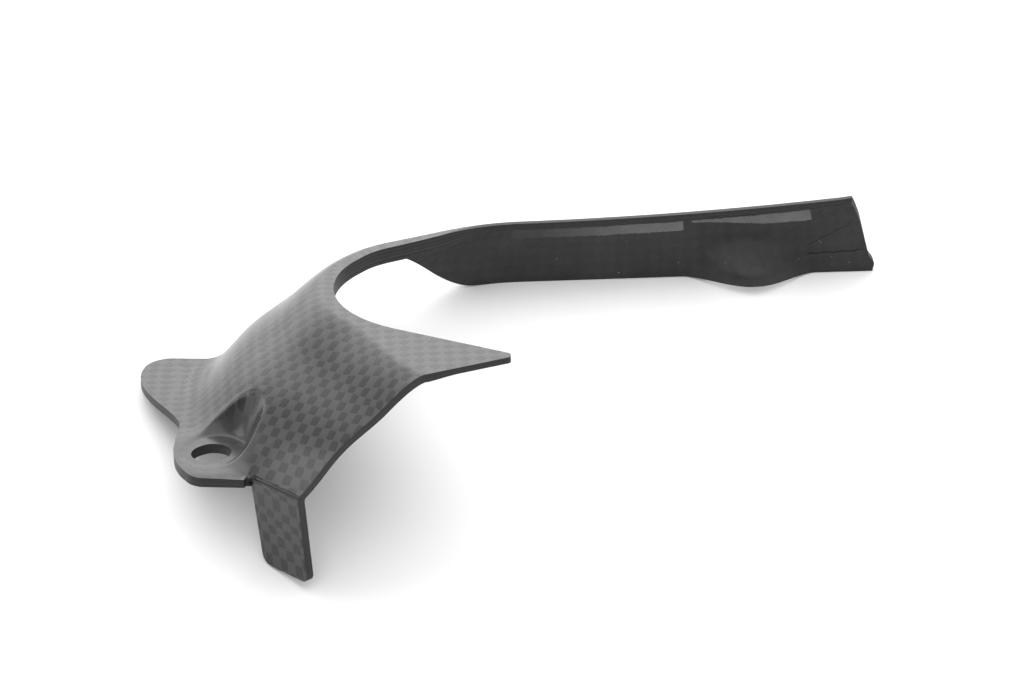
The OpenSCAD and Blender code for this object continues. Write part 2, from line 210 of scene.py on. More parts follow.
# The path of the bridge and the arm
BRIDGE_START = SHOULDER_C + polar(SHOULDER_R, BRIDGE_AZ)
BRIDGE_START_AZ = math.degrees(math.atan2(BRIDGE_START[1], BRIDGE_START[0]))
TURN = BRIDGE_AZ - ARM_AZ
TURN_LEN = ARM_TURN_R * math.radians(TURN)
PATH_LEN = BRIDGE_LEN + TURN_LEN + ARM_LEN
TURN_C = BRIDGE_START + polar(BRIDGE_LEN, BRIDGE_AZ - 90) - polar(ARM_TURN_R, BRIDGE_AZ)
WALL_FROM = 1.0
WALL_FULL = 22.0


def path_az(s):
    return BRIDGE_AZ - TURN * clamp((s - BRIDGE_LEN) / TURN_LEN)


def path(s):
    if s < BRIDGE_LEN:
        return BRIDGE_START + polar(s, BRIDGE_AZ - 90)
    if s < BRIDGE_LEN + TURN_LEN:
        return TURN_C + polar(ARM_TURN_R, path_az(s))
    return TURN_C + polar(ARM_TURN_R, ARM_AZ) + polar(s - BRIDGE_LEN - TURN_LEN, ARM_AZ - 90)


def boss(s):
    q = (s - (PATH_LEN - BOSS_BACK)) / BOSS_LEN
    return 0.0 if abs(q) > 0.5 else max(math.cos(math.pi * q), 0.0) ** BOSS_POWER


def blend_min(a, b, k):
    t = np.clip(0.5 + (b - a) / (2 * k), 0, 1)
    return mix(b, a, t) - k * t * (1 - t)


# The lug and the wing
POCKET_END = BOLT + polar(POCKET_LEN, POCKET_AZ)
POCKET_SLOPE = math.tan(math.radians(POCKET_ANGLE))
INNER_POCKET_R = POCKET_R + SKIN_T / math.sin(math.radians(POCKET_ANGLE)) - SKIN_T / POCKET_SLOPE
LUG_CORNER_AZ = 213
LUG_ROUND = 3.5
LUG_GAP_AZ = 0.9
LUG_END = np.array([FOLD_LEFT[0] - 1, BOLT[1] - LUG_FRONT])


def lug_az(k):
    return mix(FOLD_AZ - LUG_GAP_AZ, WING_FROM_AZ, k / CELLS["lug"])


def lug_edge(a):
    r = math.radians(a)
    front = (-BOLT[1] + LUG_FRONT) / -math.sin(r)
    corner = (polar(1, LUG_CORNER_AZ) @ BOLT + LUG_CORNER) / math.cos(r - math.radians(LUG_CORNER_AZ))
    side = (-BOLT[0] + LUG_SIDE) / -math.cos(r)
    return polar(blend_min(blend_min(front, corner, LUG_ROUND), side, LUG_ROUND), a)


LUG_REACH = np.linalg.norm(lug_edge(WING_FROM_AZ)) - SKIRT_R


def wing_edge(a):
    q = (WING_FROM_AZ - a) / (WING_FROM_AZ - WING_TO_AZ)
    return polar(SKIRT_R + mix(LUG_REACH, WING_W, smooth(q)), a)


WING_CORNER_C = wing_edge(WING_TO_AZ) - polar(WING_CORNER_R, WING_TO_AZ + WING_CORNER_LEAD)


def leg_drop(q):
    d = q * LEG_TIP_W
    e = LEG_TIP_W - d
    r = LEG_CORNER_R
    small = r * LEG_FAR_ROUND
    near = (r - math.sqrt(r * r - (r - e) ** 2)) * LEG_NEAR_ROUND if e < r else 0
    far = small - math.sqrt(small * small - (small - d) ** 2) if d < small else 0
    return LEG_LEN - near - far


def face_at(a):
    return mix(SKIN_T, RIM_FACE, smooth((FACE_FROM_AZ - a) / FACE_TURN))


def skirt_station(a, edge, face):
    return [at_z(rim_at(a), COVER_H), at_z(shoulder_at(a), COVER_H), at_z(polar(foot_r(a), a), SKIN_T),
            at_z(edge, SKIN_T), polar(1, a), FLAT, face]


def finger_station(k):
    q = k * FINGER_TIP_Q if k < 1 else mix(FINGER_TIP_Q, 1, (k - 1) / (CELLS["finger"] - 1))
    cut = FINGER_TIP_CUT * (1 - math.sqrt(1 - (1 - k) ** 2)) if k < 1 else 0
    top, low = mix(TIP, ROOT, q), mix(TIP_LOW, HEEL, q)
    edge = at_z(mix(low, top, cut), COVER_H)
    t = mix(FINGER_T, SKIN_T, smooth((q - FINGER_THICK_FROM) / (1 - FINGER_THICK_FROM)))
    return [at_z(mix(top, low, cut), COVER_H), edge, edge, edge, np.array([0.0, -1.0]), NONE, t]


def front_station(q):
    s = at_z(mix(FRONT_CORNER, shoulder_at(FOLD_AZ), q), COVER_H)
    f = at_z(mix(FOLD_RIGHT, FOLD_LEFT, q), SKIN_T)
    tip = (q - 0.5) * (FOLD_W - LEG_TIP_W) + LEG_SHIFT
    e = f + at_z(FOLD_DIR * tip - polar(LEG_LEAN, FOLD_AZ), -leg_drop(q))
    return [at_z(rim_at(mix(ROOT_AZ, FOLD_AZ, q)), COVER_H), s, f, e, polar(1, FOLD_AZ), LEG, SKIN_T]


def lug_station(q):
    k = q * CELLS["lug"]
    edge = lug_edge(lug_az(max(k, LUG_FRONT_CELLS)))
    if k < LUG_FRONT_CELLS:
        edge = mix(LUG_END, edge, k / LUG_FRONT_CELLS)
    return skirt_station(lug_az(k), edge, face_at(lug_az(k)))


def wing_station(q):
    a = mix(WING_FROM_AZ, WING_TO_AZ, q)
    return skirt_station(a, wing_edge(a), face_at(a))


def corner_station(q):
    a = mix(WING_TO_AZ + WING_CORNER_LEAD, WING_CORNER_END_AZ, q)
    edge = WING_CORNER_C + polar(WING_CORNER_R, a)
    return skirt_station(mix(WING_TO_AZ, WING_END_AZ, q), edge, RIM_FACE)


def back_station(q):
    a = mix(WING_END_AZ, BRIDGE_START_AZ, q)
    s = shoulder_at(a)
    way = mix(polar(1, a), polar(1, BRIDGE_AZ), q)
    n = way / np.linalg.norm(way)
    w = smooth(q)
    f = s + n * mix(np.linalg.norm(polar(SKIRT_R, a) - s), BRIDGE_LEAN, w)
    r = mix(rim_at(a), s - n * BRIDGE_W, smooth((q - BRIDGE_NARROW_FROM) / (1 - BRIDGE_NARROW_FROM)))
    foot = at_z(f, mix(SKIN_T, COVER_H - BRIDGE_DROP, w))
    return [at_z(r, COVER_H), at_z(s, COVER_H), foot, at_z(f, 0), n, NONE, RIM_FACE]


def path_station(s):
    n = polar(1, path_az(s))
    way = polar(1, path_az(s) - 90)
    along = clamp((s - WALL_FULL) / (PATH_LEN - WALL_FULL))
    grown = smooth((s - WALL_FROM) / (WALL_FULL - WALL_FROM))
    top = COVER_H + ARM_RISE * clamp((s - ARM_RISE_FROM) / (PATH_LEN - ARM_RISE_FROM)) ** 2
    lean = mix(BRIDGE_LEAN, mix(ARM_LEAN, ARM_END_LEAN, along), grown)
    foot_z = mix(COVER_H - BRIDGE_DROP, ARM_FOOT_Z + ARM_FOOT_RISE * along, grown)
    narrow = mix(BRIDGE_W, ARM_EDGE_W, smooth(s / ARM_NARROW_LEN))
    p = path(s)
    f = p + n * lean + way * ARM_SLANT * along * along
    return [at_z(p - n * narrow, top), at_z(p, top), at_z(f, foot_z), at_z(f, 0), n, NONE,
            mix(RIM_FACE, ARM_FACE, smooth((s - ARM_FACE_FROM) / ARM_FACE_LEN))]


def steps(name, first):
    n = CELLS[name] * FINE
    return [k / n for k in range(first, n + 1)]


stations = [finger_station(k / FINE) for k in range(CELLS["finger"] * FINE)]
FIRST_FRONT = len(stations)
stations += [front_station(q) for q in steps("front", 0)]
LAST_FRONT = len(stations) - 1
stations += [lug_station(q) for q in steps("lug", 0)]
stations += [wing_station(q) for q in steps("wing", 1)]
stations += [corner_station(q) for q in steps("corner", 1)]
LAST_FLANGE = len(stations) - 1
stations += [back_station(q) for q in steps("back", 1)]
FIRST_PATH = len(stations)
bridge_end = WALL_FULL + BRIDGE_RUN_ON
path_s = [bridge_end * q for q in steps("bridge", 1)]
path_s += [mix(bridge_end, PATH_LEN, q) for q in steps("arm", 1)]
stations += [path_station(s) for s in path_s]
LAST = len(stations) - 1
place = [0.0] * FIRST_PATH + path_s


def slope_of(st):
    run = np.linalg.norm(st[2][:2] - st[1][:2])
    return run, math.atan2(st[1][2] - st[2][2], max(run, 0.01))


def inner_corners(st):
    n = st[4]
    slope = slope_of(st)[1]
    t = st[6] if st[2] is st[1] else SKIN_T
    s = st[1] - t * at_z(n * math.tan(slope / 2), 1)
    if st[5] == FLAT:
        f = st[2] - SKIN_T * at_z(n * math.tan(slope / 2), 1)
    elif st[5] == LEG:
        f = st[2] - SKIN_T * at_z(n, math.tan(math.pi / 4 - slope / 2))
    else:
        f = st[2] - SKIN_T * at_z(n * math.sin(slope), math.cos(slope))
    e = st[3] - SKIN_T * at_z(n, 0) if st[5] == LEG else st[3] - SKIN_T * UP
    return [st[0] - [0, 0, st[6]], s, f, e]


def bends(st):
    """The shares of the land, the wall and the tail that the two bends take, and the tail's spacing."""
    land = np.linalg.norm(st[1] - st[0])
    wall = max(np.linalg.norm(st[2] - st[1]), 0.01)
    run = slope_of(st)[0]
    return [0 if run == 0 and wall == 0.01 else min(LAND_BEND, LAND_MOST * land) / land,
            min(SHOULDER_BEND, WALL_MOST * run) / wall, *BELOW[st[5]]]


def section(c, b, swell, lead):
    p1, p2 = mix(c[1], c[0], b[0]) + lead, mix(c[1], c[2], b[1])
    p3, p4 = mix(c[2], c[1], b[2]), mix(c[2], c[3], b[3])

    def curve(a, m, z, n):
        t = (np.arange(n) / n)[:, None]
        return mix(mix(a, m, t), mix(m, z, t), t)

    t = (np.arange(SKIRT) / SKIRT)[:, None] ** SKIRT_POWER
    tail = (np.arange(FLANGE + 1) / FLANGE)[:, None] ** b[4]
    return np.vstack([
        mix(c[0], p1, (np.arange(LAND) / LAND)[:, None]),
        curve(p1, c[1], p2, SHOULDER),
        mix(p2, p3, t) + swell * np.sin(np.pi * t) ** 2,
        curve(p3, c[2], p4, BEND),
        mix(p4, c[3], tail)])


def dished(p, r, floor_z, pad):
    """The lug's pad, and the pocket that is cut into the skirt above it."""
    d = POCKET_END - BOLT
    t = np.clip(((p[:, :2] - BOLT) @ d) / (d @ d), 0, 1)[:, None]
    gap = np.linalg.norm(p[:, :2] - BOLT - d * t, axis=1)
    x = gap - r
    fillet = (x + POCKET_FILLET) ** 2 / (4 * POCKET_FILLET)
    wall = floor_z + np.where(np.abs(x) < POCKET_FILLET, fillet, np.maximum(0, x)) * POCKET_SLOPE
    q = p.copy()
    q[:, 2] = blend_min(p[:, 2], np.maximum(wall, 0), POCKET_BLEND) + pad
    return q


def trim(i):
    """The rounded corner and the toe of the arm's end, over its last cell."""
    t = (np.arange(LAST_ROW + 1) - LAND - SHOULDER) / SKIRT
    toe = ARM_TOE * np.sin(np.pi * np.clip((t - TOE_FROM) / TOE_SHARE, 0, 1)) ** 2
    rounded = ARM_CORNER * (1 - smooth((t * SOLID_SKIRT + SOLID_SHOULDER) / CORNER_ROWS))
    return (toe - rounded) * clamp(1 - (LAST - i) / FINE)


def eased(p):
    """The dome runs into the front without a crease: the stations beside it are drawn together."""
    i, j = np.arange(LAST + 1), np.arange(LAST_ROW + 1)
    near = smooth(EASE_FULL - np.abs(i - LAST_FRONT) / (EASE_CELLS * FINE))
    rows = smooth((SKIRT_END - EASE_FOOT - j) / EASE_FOOT_ROWS) * smooth((j - EASE_TOP) / EASE_TOP_ROWS)
    share = near[1:-1, None, None] * rows[None, :, None]
    for _ in range(EASE_ROUNDS):
        p[1:-1] += share * ((p[:-2] + p[2:]) / 2 - p[1:-1]) * EASE_STEP
    return p


def skin(outer, plain=False):
    """One face of the laminate. The plain one has no bulge, trimmed end, pad or pocket."""
    rows = []
    for i, st in enumerate(stations):
        run, slope = slope_of(st)
        free = clamp(1 - (i - FIRST_FRONT) / (CELLS["front"] * FINE)) if i >= FIRST_FRONT else 0
        out = at_z(st[4] * math.sin(slope), math.cos(slope))
        swell = SKIRT_SWELL * clamp(run / (SKIRT_R - SHOULDER_R)) ** 2 * out
        swell = swell - at_z(FOLD_DIR * FRONT_BOW * free, 0)
        past = (i - FIRST_FRONT) / (HEEL_CELLS * FINE)
        lead = HEEL_LEAD * (1 - smooth(past)) if i >= FIRST_FRONT else np.zeros(2)
        corners = st[:4] if outer else inner_corners(st)
        rows.append(section(corners, bends(st), swell, at_z(lead, 0)))
    rows = eased(np.array(rows))
    if plain:
        return rows
    t = np.clip((np.arange(LAST_ROW + 1) - LAND - SHOULDER) / SKIRT, 0, 1)
    bulge = smooth((t - BOSS_FROM) / BOSS_FADE)[:, None]
    for i, st in enumerate(stations):
        p = rows[i] - at_z(st[4] * BOSS_DEPTH * boss(place[i]), 0) * bulge
        p = p + at_z(polar(1, ARM_AZ - 90), 0) * trim(i)[:, None]
        away = np.linalg.norm(p[:, :2] - BOLT, axis=1)
        near = away < POCKET_REACH
        if st[5] == LEG:
            near[SKIRT_END + 1:] = False
        pad = LUG_PAD * (1 - smooth((away - PAD_FROM) / PAD_FADE)) if outer else np.zeros(len(p))
        dish = dished(p, POCKET_R if outer else INNER_POCKET_R, SKIN_T if outer else 0, pad)
        rows[i] = np.where(near[:, None], dish, p)
    return rows


def kept_mask():
    keep = np.zeros((LAST, LAST_ROW), bool)
    keep[:FIRST_FRONT, :LAND] = True
    keep[FIRST_FRONT:LAST_FRONT, :] = True
    keep[LAST_FRONT, :SKIRT_END + BEND + FLANGE // 3] = True
    keep[LAST_FRONT + 1:LAST_FLANGE, :] = True
    keep[LAST_FLANGE:, :SKIRT_END] = True
    return keep


outer, inner = skin(True), skin(False)
keep = kept_mask()

# Lay the cover on its three feet, as the solid is
leg_foot = inner[LAST_FRONT - 2 * FINE][LAST_ROW]
wing_foot = inner[LAST_FLANGE - FINE][LAST_ROW]
arm_foot = inner[LAST][SKIRT_END]
up = np.cross(wing_foot - leg_foot, arm_foot - leg_foot)
up = up / np.linalg.norm(up) * (1 if up[2] > 0 else -1)
right = np.cross([0, 1, 0], up)
right /= np.linalg.norm(right)
turn = np.array([right, np.cross(up, right), up])
low_box, high_box = (np.array(c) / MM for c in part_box("sprocket_cover"))
used = np.zeros((LAST + 1, LAST_ROW + 1), bool)
for di in (0, 1):
    for dj in (0, 1):
        used[di:LAST + di, dj:LAST_ROW + dj] |= keep
loose = np.vstack([outer[used], inner[used]]) @ turn.T
low, high = loose.min(0), loose.max(0)
shift = (low_box + high_box - low - high) / 2
shift[2] = low_box[2] - low[2]


def rest(p):
    return (p @ turn.T + shift) * MM


# Where each point lies on the cloth, counted in tows. The cloth's two directions are laid down
# on the skin, and the counts are the best fit to them.
TOW = 2.0
WARP_AZ, WEFT_AZ = 50.0, -42.0

# The least that a normal counts as upward, the stations over which the cloth turns into the bridge,
# and the spacing of the points that are solved for. A step below TINY_STEP hardly counts.
STEEPEST, PATH_TURN, SPARSE = 0.25, 40, 4
TINY_STEP, SHORT_STEP, SLACK = 0.02, 0.05, 1e-3


def unit(v):
    return v / np.maximum(np.linalg.norm(v, axis=-1, keepdims=True), 1e-9)


def cloth(p):
    di = np.gradient(p, axis=0)
    dj = np.gradient(p, axis=1)
    n = unit(np.cross(dj, di))
    n *= np.where(n[..., 2:] < 0, -1, 1)

    def lie(az):
        way = at_z(polar(1, az), 0)
        return unit(way * np.maximum(n[..., 2:], STEEPEST) - (n @ way)[..., None] * UP)

    warp, weft = lie(WARP_AZ), lie(WEFT_AZ)
    along, down = unit(di), unit(dj)
    path_share = smooth((np.arange(len(p)) - LAST_FLANGE) / PATH_TURN)[:, None, None]
    warp = unit(mix(warp, unit(along - down), path_share))
    weft = unit(mix(weft, unit(along + down), path_share))
    leg = (slice(FIRST_FRONT, LAST_FRONT + 1), slice(FOLD_ROW, None))
    warp[leg] = -down[leg]
    weft[leg] = at_z(FOLD_DIR, 0)
    return warp, weft


def tow_counts(p):
    warp, weft = cloth(p)
    ci = np.unique(np.r_[0:LAST:SPARSE, FIRST_FRONT, LAST_FRONT, LAST_FRONT + 1, LAST])
    cj = np.unique(np.r_[0:LAST_ROW:SPARSE, LAST_ROW])
    idx = np.arange(len(ci) * len(cj)).reshape(len(ci), len(cj))
    q = p[np.ix_(ci, cj)]
    wa, we = warp[np.ix_(ci, cj)], weft[np.ix_(ci, cj)]
    a, b, step, basis = [], [], [], []
    for ax in (0, 1):
        lo = (slice(0, -1), slice(None)) if ax == 0 else (slice(None), slice(0, -1))
        hi = (slice(1, None), slice(None)) if ax == 0 else (slice(None), slice(1, None))
        a.append(idx[lo].ravel())
        b.append(idx[hi].ravel())
        step.append((q[hi] - q[lo]).reshape(-1, 3))
        basis.append((unit(wa[hi] + wa[lo]).reshape(-1, 3), unit(we[hi] + we[lo]).reshape(-1, 3)))
    a, b, step = np.concatenate(a), np.concatenate(b), np.concatenate(step)
    wa, we = np.concatenate([x[0] for x in basis]), np.concatenate([x[1] for x in basis])
    cross = (wa * we).sum(1)
    sw, se = (step * wa).sum(1), (step * we).sum(1)
    v = (sw - cross * se) / (1 - cross ** 2)
    u = (se - cross * sw) / (1 - cross ** 2)
    length = np.linalg.norm(step, axis=1)
    across_front = (a // len(cj) == np.searchsorted(ci, LAST_FRONT)) & (b - a == len(cj))
    lost = across_front & (a % len(cj) > np.searchsorted(cj, SKIRT_END))
    weight = np.where((length < TINY_STEP) | lost, SLACK, 1 / np.maximum(length, SHORT_STEP))
    n = idx.size
    lap = np.zeros((n, n))
    rhs = np.zeros((n, 2))
    np.add.at(lap, (a, a), weight)
    np.add.at(lap, (b, b), weight)
    np.add.at(lap, (a, b), -weight)
    np.add.at(lap, (b, a), -weight)
    for col, d in enumerate((u, v)):
        np.add.at(rhs[:, col], b, weight * d)
        np.add.at(rhs[:, col], a, -weight * d)
    lap[0, 0] += 1
    sol = np.linalg.solve(lap, rhs).reshape(len(ci), len(cj), 2) / TOW
    full = np.empty(p.shape[:2] + (2,))
    for k in (0, 1):
        mid = np.array([np.interp(np.arange(LAST_ROW + 1), cj, row) for row in sol[..., k]])
        full[..., k] = np.array([np.interp(np.arange(LAST + 1), ci, col) for col in mid.T]).T
    return full


counts = tow_counts(skin(True, plain=True))

# One closed skin: outer face, inner face and the cut edge between them
row_n = LAST_ROW + 1
skin_n = row_n * (LAST + 1)
verts = np.vstack([rest(outer).reshape(-1, 3), rest(inner).reshape(-1, 3)])
uvs = np.vstack([counts.reshape(-1, 2)] * 2)
span = np.array(place)[:, None] * np.ones(row_n)


def run_from_rim(p):
    pieces = np.linalg.norm(np.diff(p, axis=1), axis=2)
    return np.hstack([np.zeros((LAST + 1, 1)), np.cumsum(pieces, axis=1)])


run_down, run_inside = run_from_rim(outer), run_from_rim(inner)
spots = np.vstack([np.dstack([span, run]).reshape(-1, 2) for run in (run_down, run_inside)])

# Along the fold over the leg and down from it; on the cut edge, along it and through the laminate
fold_marks = np.full((LAST + 1, row_n, 2), -9.0)
front = slice(FIRST_FRONT, LAST_FRONT + 1)
fold_marks[front, :, 0] = np.linspace(0, 1, LAST_FRONT + 1 - FIRST_FRONT)[:, None]
fold_marks[front, :, 1] = run_down[front] - run_down[front, FOLD_ROW][:, None]
fold_marks = fold_marks.reshape(-1, 2)

BARE_FROM, BARE_LEN = 12.0, 16.0
faces, kinds, marks = [], [], []
OUTSIDE, INSIDE, EDGE = 0, 1, 2
padded = np.pad(keep, 1)
for i, j in np.argwhere(keep):
    a, b = i * row_n + j, i * row_n + j + 1
    d, c = a + row_n, b + row_n
    faces.append((a, d, c, b))
    # The arm's top edge is left as it was cut, from nothing on the bridge to its full width
    bare = j < LAND + SHOULDER and run_down[i, j] < (place[i] - BARE_FROM) / BARE_LEN * ARM_EDGE_W
    kinds.append(EDGE if bare else OUTSIDE)
    if bare:
        marks += [(0, run_down[k // row_n, k % row_n]) for k in (a, d, c, b)]
    else:
        marks += [fold_marks[k] for k in (a, d, c, b)]
    faces.append((a + skin_n, b + skin_n, c + skin_n, d + skin_n))
    kinds.append(INSIDE)
    marks += [(-9, -9)] * 4
    beside = (padded[i, j + 1], padded[i + 1, j + 2], padded[i + 2, j + 1], padded[i + 1, j])
    for there, p, q in zip(beside, (a, b, c, d), (b, c, d, a)):
        if not there:
            faces.append((p, q, q + skin_n, p + skin_n))
            kinds.append(EDGE)
            marks += [(0, 0), (1, 0), (1, SKIN_T), (0, SKIN_T)]

mesh = bpy.data.meshes.new("cover_skin")
mesh.from_pydata([tuple(v) for v in verts], [], faces)
mesh.polygons.foreach_set("material_index", kinds)
loops = np.empty(len(mesh.loops), int)
mesh.loops.foreach_get("vertex_index", loops)
for name, values in (("weave", uvs[loops]), ("spot", spots[loops]), ("marks", np.array(marks, float))):
    mesh.uv_layers.new(name=name).data.foreach_set("uv", values.ravel())
mesh.validate()
cover = bpy.data.objects.new("cover_skin", mesh)
bpy.context.scene.collection.objects.link(cover)


# Materials. Tones are base colours. Positions and bumps are in metres, the weave map is in tows, and
# the other two maps are in millimetres, but for the marks' share of the way along the fold.
# Painted sheen: the lit and the shaded tone of the same tow, lighter on the warp and darker on the weft
LIT_TOW_TONE, SHADED_TOW_TONE = 0.028, 0.002
STRIP_TONE, SPECK_TONE = 0.15, 0.12
BLACK = (0, 0, 0, 1)


class Nodes:
    """Short names for making a node tree."""

    def __init__(self, name):
        self.material = bpy.data.materials.new(name)
        self.material.use_nodes = True
        self.tree = self.material.node_tree
        self.shader = self.tree.nodes["Principled BSDF"]

    def add(self, kind, **props):
        node = self.tree.nodes.new("ShaderNode" + kind)
        for key, value in props.items():
            setattr(node, key, value)
        return node

    def put(self, socket, value):
        if isinstance(value, bpy.types.NodeSocket):
            self.tree.links.new(value, socket)
        elif value is not None:
            socket.default_value = value

    def surface(self, **values):
        for name, value in values.items():
            self.put(self.shader.inputs[name.replace("_", " ")], value)
        return self.material

    def math(self, op, a, b=None, c=None):
        node = self.add("Math", operation=op)
        for socket, value in zip(node.inputs, (a, b, c)):
            self.put(socket, value)
        return node.outputs[0]

    def times(self, a, b):
        return self.math("MULTIPLY", a, b)

    def plus(self, a, b):
        return self.math("ADD", a, b)

    def minus(self, a, b):
        return self.math("SUBTRACT", a, b)

    def line(self, x, slope, base):
        return self.math("MULTIPLY_ADD", x, slope, base)

    def mix(self, t, a, b):
        node = self.add("Mix", data_type="FLOAT")
        for socket, value in zip((node.inputs[0], node.inputs[2], node.inputs[3]), (t, a, b)):
            self.put(socket, value)
        return node.outputs[0]

    def colour(self, t, a, b):
        node = self.add("Mix", data_type="RGBA")
        for socket, value in zip((node.inputs[0], node.inputs[6], node.inputs[7]), (t, a, b)):
            self.put(socket, value)
        return node.outputs[2]

    def ramp(self, value, low, high):
        node = self.add("MapRange", interpolation_type="SMOOTHSTEP")
        for socket, v in zip(node.inputs, (value, low, high, 0.0, 1.0)):
            self.put(socket, v)
        return node.outputs[0]

    def band(self, x, low, high, soft):
        """1 between two places and 0 outside them."""
        return self.ramp(self.math("MINIMUM", self.minus(x, low), self.minus(high, x)), 0.0, soft)

    def hump(self, x, power):
        """1 in the middle of a cell and 0 at its ends."""
        away = self.math("ABSOLUTE", self.line(x, 2.0, -1.0))
        return self.minus(1.0, self.math("POWER", away, power))

    def uv(self, name):
        node = self.add("SeparateXYZ")
        self.put(node.inputs[0], self.add("UVMap", uv_map=name).outputs[0])
        return node.outputs[0], node.outputs[1]

    def where(self):
        return self.add("NewGeometry").outputs["Position"]

    def distance(self, point, place):
        node = self.add("VectorMath", operation="DISTANCE")
        self.put(node.inputs[0], point)
        node.inputs[1].default_value = place
        return node.outputs["Value"]

    def noise(self, vector, scale, detail=2.0, rough=0.5):
        node = self.add("TexNoise")
        self.put(node.inputs["Vector"], vector)
        node.inputs["Scale"].default_value = scale
        node.inputs["Detail"].default_value = detail
        node.inputs["Roughness"].default_value = rough
        return node.outputs["Fac"]

    def vector(self, x, y, z=0.0):
        node = self.add("CombineXYZ")
        for socket, value in zip(node.inputs, (x, y, z)):
            self.put(socket, value)
        return node.outputs[0]

    def bump(self, height, distance, strength=1.0):
        node = self.add("Bump")
        node.inputs["Strength"].default_value = strength
        node.inputs["Distance"].default_value = distance
        self.put(node.inputs["Height"], height)
        return node.outputs[0]

    def weave(self):
        """If the weft is on top here, the place in the cell, and the tow's height and fibres."""
        u, v = self.uv("weave")
        fu, fv = self.math("FRACT", u), self.math("FRACT", v)
        cell = self.plus(self.math("FLOOR", u), self.math("FLOOR", v))
        weft = self.times(self.math("FRACT", self.times(cell, 0.5)), 2.0)
        height = self.times(self.hump(self.mix(weft, fu, fv), 4.0),
                            self.hump(self.mix(weft, fv, fu), 2.4))
        lane = self.math("MULTIPLY_ADD", self.mix(weft, u, v), 14.0, self.times(weft, 37.0))
        fibre = self.noise(self.vector(lane, self.times(self.mix(weft, v, u), 0.6), cell), 1.0, 1.0)
        return weft, fu, fv, height, fibre


def laminate_outside():
    m = Nodes("woven_laminate")
    weft, fu, fv, height, fibre = m.weave()
    where = m.where()
    # The weave hardly shows on the lug and in its pocket
    from_bolt = m.distance(where, rest(at_z(BOLT, SKIN_T)))
    clear = m.line(m.ramp(from_bolt, 0.009, 0.0125), 0.75, 0.25)
    # Painted sheen and shadow: the weft's rounded squares are painted darker than the warp, as the same
    # tow catches less light across its fibres, and darkest at one side, where the warp tow's shadow is
    # painted
    shaded_weft = m.ramp(m.times(m.hump(fu, 4.0), m.hump(fv, 4.0)), 0.05, 0.45)
    shaded_weft = m.times(m.times(weft, clear), shaded_weft)
    # Painted shadow: the weft's tone falls off towards the side where the warp tow would shade it
    weft_shade_tone = m.mix(m.ramp(fu, 0.08, 0.6), SHADED_TOW_TONE * 0.25, SHADED_TOW_TONE * 1.2)
    # Painted highlight and shade: the warp's tone rises on the tow's crown and falls where it dips
    tone = m.mix(shaded_weft, m.line(height, LIT_TOW_TONE * 0.15, LIT_TOW_TONE * 0.9), weft_shade_tone)
    tone = m.times(tone, m.line(fibre, 0.4, 0.8))
    tone = m.times(tone, m.line(m.noise(where, 160.0), 0.3, 0.85))
    # Painted shade: a broken line darkens the crease of the fold over the leg
    along, down = m.uv("marks")
    width = m.line(m.noise(m.vector(m.times(along, 6.0), 0.0), 1.0), 0.7, 0.25)
    line = m.minus(1.0, m.ramp(m.math("ABSOLUTE", down), m.times(width, 0.5), width))
    line = m.times(line, m.ramp(m.minus(1.0, along), 0.0, 0.12))
    tone = m.times(tone, m.line(line, -0.95, 1.0))
    return m.surface(
        Base_Color=m.colour(tone, BLACK, (1, 1, 1.03, 1)), Roughness=0.6, Specular_IOR_Level=0.12,
        Normal=m.bump(height, 0.00006, 0.6), Coat_Weight=0.8, Coat_Roughness=0.22, Coat_IOR=1.5,
        Coat_Normal=m.bump(m.minus(1.0, line), 0.0004))


def laminate_inside():
    m = Nodes("bare_inner_side")
    where = m.where()
    weft, _, _, height, _ = m.weave()
    blotch = m.noise(where, 90.0, 4.0, 0.6)
    shade = m.times(m.line(blotch, 0.045, 0.004), m.mix(weft, 1.06, 0.94))
    # Two ragged strips of smoother cloth under the arm's top edge
    s, drop = m.uv("spot")
    deep = m.plus(drop, m.line(m.noise(where, 700.0, 3.0, 0.7), 0.8, -0.4))
    first = m.times(m.band(s, 28.0, 63.5, 0.5), m.band(deep, 0.9, 3.4, 0.25))
    tail = m.line(m.ramp(s, 64.0, 84.0), 1.9, 1.6)
    second = m.times(m.band(s, 64.8, 89.6, 0.5), m.band(deep, 0.9, tail, 0.25))
    strip = m.times(m.math("MAXIMUM", first, second), m.line(m.ramp(s, 28.0, 60.0), 0.75, 0.1))
    strip = m.times(strip, m.line(m.noise(where, 260.0, 3.0, 0.6), 0.8, 0.6))
    shade = m.mix(strip, shade, STRIP_TONE)
    # A crease and a fainter fold near the arm's end, each along a line that wanders a little. They are
    # dented into the bump, and painted shade darkens the base colour along them
    wander = m.line(m.noise(m.vector(s, 0.0), 0.6), 0.8, -0.4)

    def wrinkle(start, base, slope, end, half, soft):
        at = m.math("MULTIPLY_ADD", m.minus(s, start), slope, m.plus(base, wander))
        across = m.band(drop, m.minus(at, half), m.plus(at, half), soft)
        return m.times(m.band(s, 86.0, end, 2.0), across)

    crease = wrinkle(88.0, 11.2, 0.05, 98.5, 0.3, 0.25)
    fold = wrinkle(88.3, 8.8, -0.42, 98.0, 0.2, 0.2)
    lines = m.math("MAXIMUM", crease, m.times(fold, 0.7))
    shade = m.times(shade, m.line(lines, -0.9, 1.0))
    shade = m.math("MULTIPLY_ADD", m.ramp(m.noise(where, 1500.0, 1.0), 0.77, 0.8), SPECK_TONE, shade)
    lumps = m.math("MULTIPLY_ADD", height, 0.25, m.noise(where, 420.0, 5.0, 0.65))
    lumps = m.minus(lumps, m.times(lines, 0.8))
    return m.surface(
        Base_Color=m.colour(shade, BLACK, (1, 1, 1.02, 1)), Roughness=m.line(blotch, 0.3, 0.42),
        Specular_IOR_Level=0.3, Normal=m.bump(lumps, 0.0003, 0.6))


